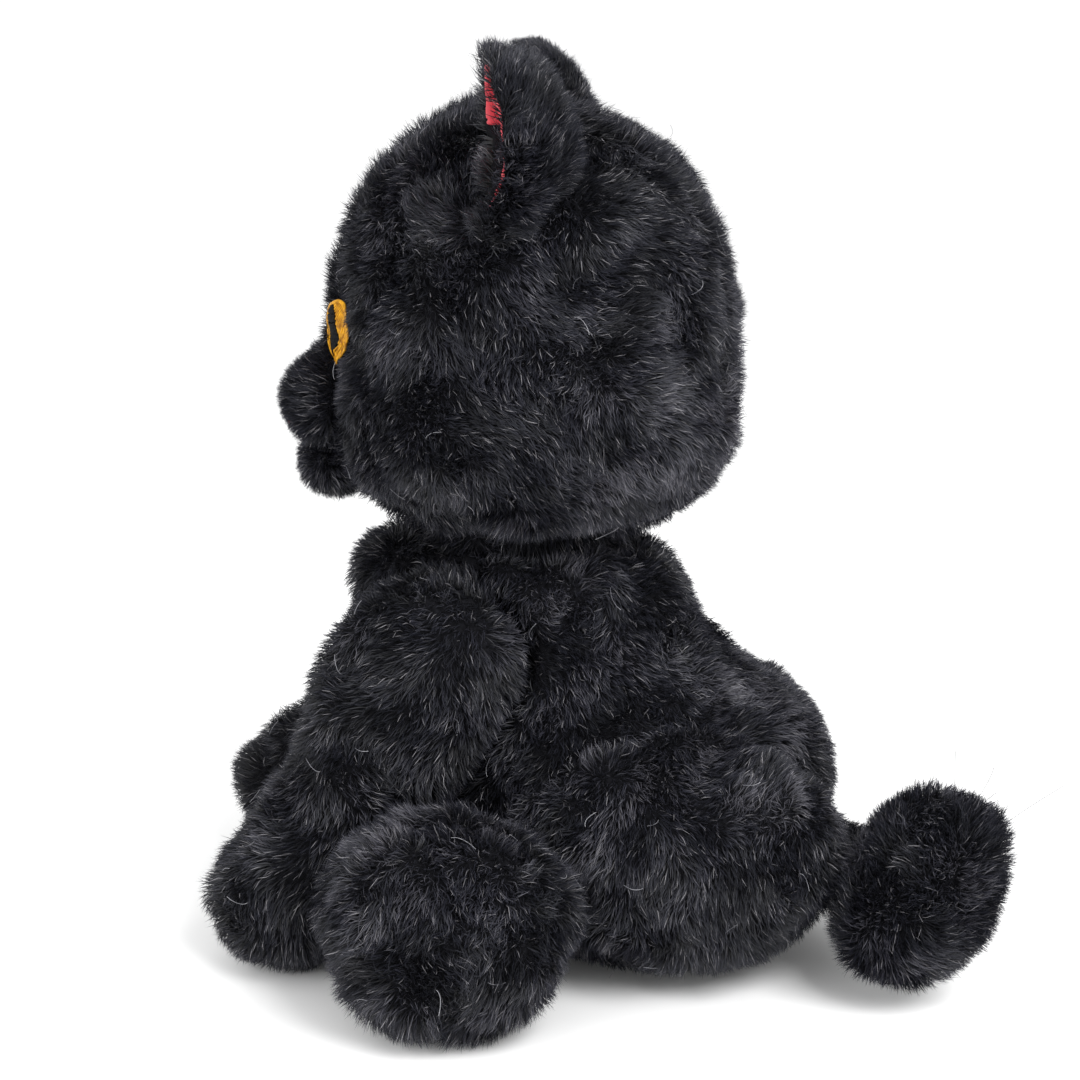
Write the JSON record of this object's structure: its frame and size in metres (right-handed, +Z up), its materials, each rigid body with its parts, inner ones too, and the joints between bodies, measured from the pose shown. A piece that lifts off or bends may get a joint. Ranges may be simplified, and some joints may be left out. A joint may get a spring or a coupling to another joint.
{
  "type": "plush cat",
  "caption": "Seated stuffed cat in long black pile, with a large round head, cupped red-lined ears, splayed legs and a short plump tail; head, legs, ears and tail flex.",
  "frame": {"origin": "on the floor under the middle of the body", "axes": "+X to the cat's left, -Y to its front, +Z up"},
  "size_m": [0.192, 0.2131, 0.2468],
  "materials": {
    "pile": "long soft black pile",
    "fill": "loose white polyester fibrefill",
    "pouch": "plain woven pouch of pellets",
    "satin": "red satin",
    "gold_thread": "satin-stitched golden thread",
    "black_thread": "satin-stitched black thread",
    "red_thread": "satin-stitched dark red thread"
  },
  "bodies": {
    "torso": {"torso_left_panel": "pile", "torso_right_panel": "pile", "seat_panel": "pile", "torso_stuffing": "fill", "pellet_pouch": "pouch", "haunch_left": "pile", "haunch_left_stuffing": "fill", "haunch_right": "pile", "haunch_right_stuffing": "fill"},
    "neck": {"neck_stuffing": "fill"},
    "head": {"head_left_panel": "pile", "head_right_panel": "pile", "head_gusset": "pile", "head_stuffing": "fill", "muzzle_panel": "pile", "muzzle_stuffing": "fill", "chin_panel": "pile", "chin_stuffing": "fill", "nose": "red_thread", "mouth_stitch": "red_thread", "eye_left": "gold_thread", "eye_right": "gold_thread", "pupil_left": "black_thread", "pupil_right": "black_thread"},
    "ear_left": {"ear_left_back": "pile", "ear_left_lining": "satin"},
    "ear_right": {"ear_right_back": "pile", "ear_right_lining": "satin"},
    "front_leg_left": {"front_leg_left": "pile", "front_leg_left_stuffing": "fill"},
    "front_leg_right": {"front_leg_right": "pile", "front_leg_right_stuffing": "fill"},
    "hind_foot_left": {"hind_foot_left": "pile", "hind_foot_left_stuffing": "fill"},
    "hind_foot_right": {"hind_foot_right": "pile", "hind_foot_right_stuffing": "fill"},
    "tail_root": {"tail_root": "pile", "tail_root_stuffing": "fill"},
    "tail_end": {"tail_end": "pile", "tail_end_stuffing": "fill"}
  },
  "joints": [
    {"name": "neck_turn", "type": "hinge", "parent": "torso", "child": "neck", "pos_m": [0, -0.024, 0.114], "axis": [0, 0, 1], "range_deg": [-30, 30], "stiffness_Nm_per_rad": 0.8},
    {"name": "head_nod", "type": "hinge", "parent": "neck", "child": "head", "pos_m": [0, -0.024, 0.114], "axis": [1, 0, 0], "range_deg": [-12, 12], "stiffness_Nm_per_rad": 0.8},
    {"name": "ear_left_fold", "type": "hinge", "parent": "head", "child": "ear_left", "pos_m": [0.0435, -0.019, 0.205], "axis": [0.7012, -0.0501, -0.7112], "range_deg": [-12, 20], "stiffness_Nm_per_rad": 0.05},
    {"name": "ear_right_fold", "type": "hinge", "parent": "head", "child": "ear_right", "pos_m": [-0.0435, -0.019, 0.205], "axis": [0.7012, 0.0501, 0.7112], "range_deg": [-12, 20], "stiffness_Nm_per_rad": 0.05},
    {"name": "front_leg_left_swing", "type": "hinge", "parent": "torso", "child": "front_leg_left", "pos_m": [0.033, -0.042, 0.085], "axis": [-1, 0, 0], "range_deg": [0, 40], "stiffness_Nm_per_rad": 0.4},
    {"name": "front_leg_right_swing", "type": "hinge", "parent": "torso", "child": "front_leg_right", "pos_m": [-0.033, -0.042, 0.085], "axis": [-1, 0, 0], "range_deg": [0, 40], "stiffness_Nm_per_rad": 0.4},
    {"name": "hind_foot_left_splay", "type": "hinge", "parent": "torso", "child": "hind_foot_left", "pos_m": [0.056, -0.015, 0.028], "axis": [0, 0, 1], "range_deg": [-4, 16], "stiffness_Nm_per_rad": 0.3},
    {"name": "hind_foot_right_splay", "type": "hinge", "parent": "torso", "child": "hind_foot_right", "pos_m": [-0.056, -0.015, 0.028], "axis": [0, 0, -1], "range_deg": [-4, 16], "stiffness_Nm_per_rad": 0.3},
    {"name": "tail_wag", "type": "hinge", "parent": "torso", "child": "tail_root", "pos_m": [0.004, 0.056, 0.022], "axis": [0, 0, 1], "range_deg": [0, 50], "stiffness_Nm_per_rad": 0.2},
    {"name": "tail_lift", "type": "hinge", "parent": "tail_root", "child": "tail_end", "pos_m": [0.025, 0.071, 0.024], "axis": [0.5812, -0.8137, 0], "range_deg": [0, 20], "stiffness_Nm_per_rad": 0.2}
  ]
}
